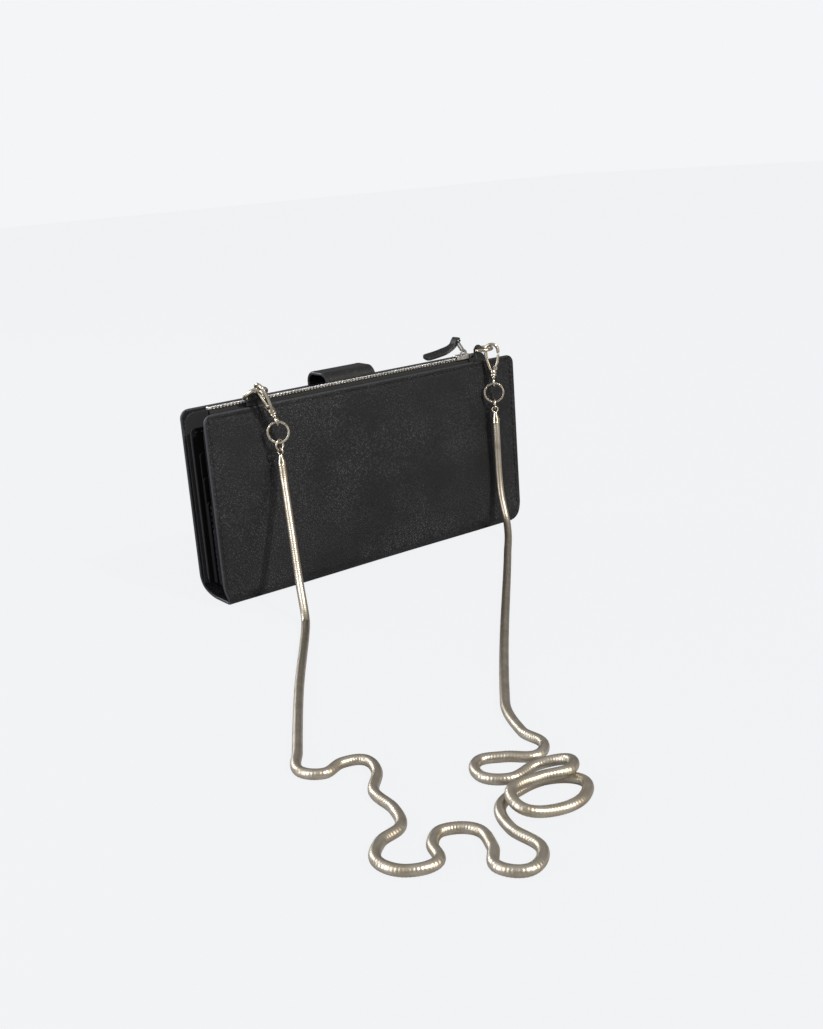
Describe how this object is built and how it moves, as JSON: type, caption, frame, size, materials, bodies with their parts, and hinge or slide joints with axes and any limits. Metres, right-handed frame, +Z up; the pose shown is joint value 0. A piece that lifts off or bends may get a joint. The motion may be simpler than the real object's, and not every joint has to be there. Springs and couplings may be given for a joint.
{
  "type": "chain wallet",
  "caption": "Long bifold wallet in black leather standing on its fold, with a zipped coin pocket, a closing tab and a clip-on snake-link metal strap.",
  "frame": {"origin": "middle of the flat under the spine that the wallet stands on", "axes": "+X along the wallet's width, -Y out of the coin-pocket side, +Z up"},
  "size_m": [0.2709, 0.2986, 0.1091],
  "materials": {
    "cover_leather": "black cross-hatch pressed leather, satin",
    "trim_leather": "black leather, satin",
    "inner_leather": "thin black leather",
    "lining_fabric": "black twill",
    "zip_tape": "black woven tape",
    "zip_metal": "bright nickel plate",
    "hook_metal": "warm light nickel plate",
    "strap_metal": "polished warm nickel links",
    "snap_metal": "nickel plate",
    "spring_steel": "plain steel"
  },
  "bodies": {
    "root": {"near_cover": "cover_leather", "spine": "cover_leather", "near_lining": "lining_fabric", "zip_tape_near": "zip_tape", "zip_tape_far": "zip_tape", "zip_teeth": "zip_metal", "zip_stops": "zip_metal", "pocket_wall": "inner_leather", "pocket_rim": "lining_fabric", "near_slot_1": "inner_leather", "near_slot_2": "inner_leather", "near_slot_3": "inner_leather", "near_slot_4": "inner_leather", "d_loop_left": "trim_leather", "d_loop_right": "trim_leather", "hook_left": "hook_metal", "hook_right": "hook_metal", "gate_pin_left": "spring_steel", "gate_pin_right": "spring_steel", "gate_spring_left": "spring_steel", "gate_spring_right": "spring_steel", "end_cap_left": "hook_metal", "end_cap_right": "hook_metal", "snap_stud": "snap_metal", "snake_strap": "strap_metal"},
    "far_half": {"far_cover": "cover_leather", "far_lining": "lining_fabric", "bill_wall": "inner_leather", "bill_gussets": "lining_fabric", "far_slot_1": "inner_leather", "far_slot_2": "inner_leather", "far_slot_3": "inner_leather", "tab_anchor": "trim_leather"},
    "closing_tab": {"snap_tab": "trim_leather", "snap_cap": "snap_metal", "snap_socket": "snap_metal"},
    "slider": {"zip_slider": "zip_metal"},
    "puller": {"puller_link": "zip_metal", "puller": "trim_leather"},
    "d_ring_left": {"d_ring_left": "hook_metal"},
    "d_ring_right": {"d_ring_right": "hook_metal"},
    "gate_left": {"gate_left": "hook_metal"},
    "gate_right": {"gate_right": "hook_metal"},
    "swivel_left": {"swivel_left": "hook_metal"},
    "swivel_right": {"swivel_right": "hook_metal"},
    "split_ring_left": {"split_ring_left": "hook_metal"},
    "split_ring_right": {"split_ring_right": "hook_metal"},
    "jump_ring_left": {"jump_ring_left": "hook_metal"},
    "jump_ring_right": {"jump_ring_right": "hook_metal"}
  },
  "joints": [
    {"name": "fold_open", "type": "hinge", "parent": "root", "child": "far_half", "pos_m": [0, 0.011, 0.004], "axis": [-1, 0, 0], "range_deg": [0, 90], "deforming": ["spine"]},
    {"name": "tab_swing", "type": "hinge", "parent": "far_half", "child": "closing_tab", "pos_m": [-0.006, 0.0146, 0.084], "axis": [-1, 0, 0], "range_deg": [0, 165]},
    {"name": "zip_run", "type": "slide", "parent": "root", "child": "slider", "axis": [-1, 0, 0], "range_m": [0, 0.14]},
    {"name": "puller_flip", "type": "hinge", "parent": "slider", "child": "puller", "pos_m": [0.0635, -0.0086, 0.1007], "axis": [0, 1, 0], "range_deg": [0, 75]},
    {"name": "d_ring_left_turn", "type": "hinge", "parent": "root", "child": "d_ring_left", "pos_m": [-0.068, -0.0133, 0.0996], "axis": [1, 0, 0], "range_deg": [0, 10]},
    {"name": "d_ring_right_turn", "type": "hinge", "parent": "root", "child": "d_ring_right", "pos_m": [0.0705, -0.0121, 0.1013], "axis": [0.7071, 0.7071, 0], "range_deg": [0, 10]},
    {"name": "gate_left_open", "type": "hinge", "parent": "root", "child": "gate_left", "pos_m": [-0.06387, -0.01779, 0.09484], "axis": [0.9135, 0, 0.4067], "range_deg": [0, 22], "stiffness_Nm_per_rad": 0.01, "springref_deg": -11.46},
    {"name": "gate_right_open", "type": "hinge", "parent": "root", "child": "gate_right", "pos_m": [0.07686, -0.01846, 0.09115], "axis": [-0.7071, -0.7071, 0], "range_deg": [0, 22], "stiffness_Nm_per_rad": 0.01, "springref_deg": -11.46},
    {"name": "swivel_left_turn", "type": "hinge", "parent": "root", "child": "swivel_left", "pos_m": [-0.06062, -0.01929, 0.08753], "axis": [0.4067, 0, -0.9135], "range_deg": [-8, 8]},
    {"name": "swivel_right_turn", "type": "hinge", "parent": "root", "child": "swivel_right", "pos_m": [0.0758, -0.0174, 0.08315], "axis": [0, 0, -1], "range_deg": [-8, 8]},
    {"name": "split_ring_left_spin", "type": "hinge", "parent": "root", "child": "split_ring_left", "pos_m": [-0.06044, -0.01942, 0.08192], "axis": [0.5878, 0.809, 0], "continuous": true},
    {"name": "jump_ring_left_spin", "type": "hinge", "parent": "root", "child": "jump_ring_left", "pos_m": [-0.06044, -0.01942, 0.07567], "axis": [-0.342, 0.9397, 0], "continuous": true},
    {"name": "split_ring_right_spin", "type": "hinge", "parent": "root", "child": "split_ring_right", "pos_m": [0.0758, -0.0174, 0.0775], "axis": [0.5878, 0.809, 0], "continuous": true},
    {"name": "jump_ring_right_spin", "type": "hinge", "parent": "root", "child": "jump_ring_right", "pos_m": [0.0758, -0.0174, 0.07125], "axis": [-0.809, 0.5878, 0], "continuous": true}
  ]
}
